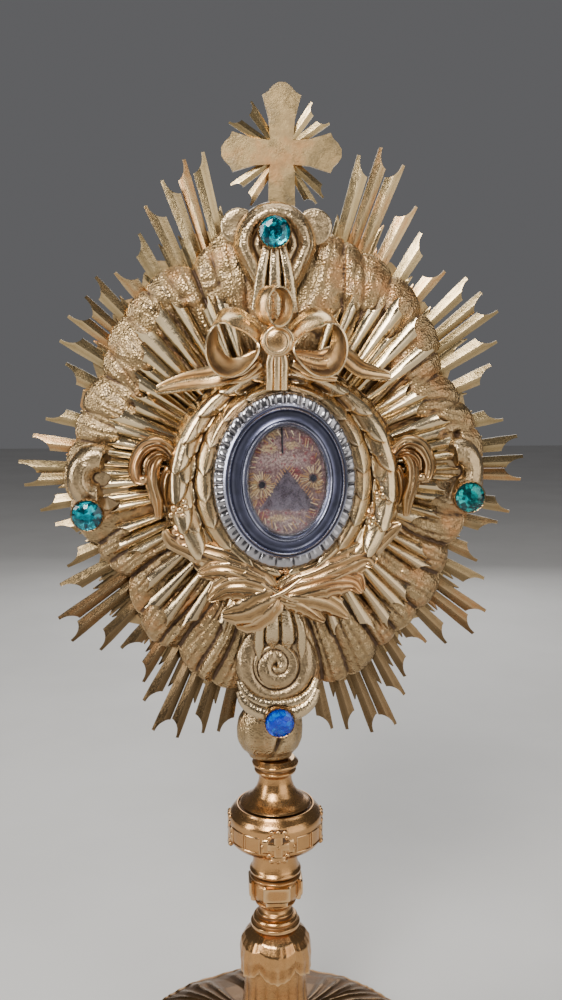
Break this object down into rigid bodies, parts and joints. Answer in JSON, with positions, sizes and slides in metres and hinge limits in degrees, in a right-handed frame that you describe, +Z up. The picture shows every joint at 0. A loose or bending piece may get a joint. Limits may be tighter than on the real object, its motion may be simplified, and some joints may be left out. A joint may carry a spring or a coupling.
{
  "type": "reliquary monstrance",
  "caption": "Free-standing gilt monstrance: oval sunburst with clouds, wreath and ribbon bow round a glazed relic case, on a knopped stem and round domed foot.",
  "frame": {"origin": "centre of the foot's underside, on the stem's axis", "axes": "+Z up along the stem, -Y towards the front of the sunburst, +X to the right seen from the front"},
  "size_m": [0.2503, 0.19, 0.5208],
  "materials": {
    "gilt_brass": "aged gilding, satin, worn to brown in the hollows",
    "stem_bronze": "polished orange-brown gilding, worn",
    "ribbon_gilt": "burnished copper-toned gilding",
    "silvered": "silvered, tarnished in the flutes",
    "dark_frame": "blue-black oxidised, rubbed bright on the mouldings",
    "crystal": "clear, polished",
    "relic_cloth": "faded cloth on card, couched with metal thread",
    "green_glass": "cut, foil-backed",
    "blue_glass": "cut, foil-backed",
    "iron": "plain dark steel"
  },
  "bodies": {
    "body": {"back_plate": "gilt_brass", "bezel_bottom": "gilt_brass", "bezel_left": "gilt_brass", "bezel_right": "gilt_brass", "bezel_top": "gilt_brass", "bottom_scroll": "gilt_brass", "bottom_volute": "gilt_brass", "bow_knot": "ribbon_gilt", "bow_loop_left": "ribbon_gilt", "bow_loop_right": "ribbon_gilt", "bulb": "gilt_brass", "case_wall": "gilt_brass", "cloud_ring": "gilt_brass", "column": "stem_bronze", "column_cap": "stem_bronze", "cross": "gilt_brass", "cross_rays": "gilt_brass", "fluted_ring": "silvered", "foot_dome": "stem_bronze", "foot_flange": "stem_bronze", "hinge_bracket": "gilt_brass", "hinge_pin": "iron", "knop_cross_back": "stem_bronze", "knop_cross_front": "stem_bronze", "knop_cross_left": "stem_bronze", "knop_cross_right": "stem_bronze", "latch_keeper": "gilt_brass", "leaf_collar": "stem_bronze", "left_scroll": "gilt_brass", "main_knop": "stem_bronze", "neck": "stem_bronze", "ray_sheet": "gilt_brass", "relic_panel": "relic_cloth", "right_scroll": "gilt_brass", "rod_nut": "iron", "rod_washer": "iron", "small_knop": "stem_bronze", "spray_left": "ribbon_gilt", "spray_right": "ribbon_gilt", "stone_bottom": "blue_glass", "stone_left": "green_glass", "stone_right": "green_glass", "stone_top": "green_glass", "tail_left": "ribbon_gilt", "tail_right": "ribbon_gilt", "tang": "gilt_brass", "tang_pin": "iron", "tendril_left": "ribbon_gilt", "tendril_right": "ribbon_gilt", "theca_cup": "dark_frame", "theca_frame": "dark_frame", "theca_glass": "crystal", "tie_rod": "iron", "top_scroll": "gilt_brass", "vase": "stem_bronze", "wreath": "gilt_brass"},
    "door": {"rear_door": "gilt_brass", "latch_rivet": "iron"},
    "latch": {"latch_button": "stem_bronze"}
  },
  "joints": [
    {"name": "door_hinge", "type": "hinge", "parent": "body", "child": "door", "pos_m": [-0.0322, 0.0096, 0.335], "axis": [0, 0, 1], "range_deg": [0, 110]},
    {"name": "latch_turn", "type": "hinge", "parent": "door", "child": "latch", "pos_m": [0.0278, 0.0098, 0.335], "axis": [0, 1, 0], "range_deg": [0, 90]}
  ]
}
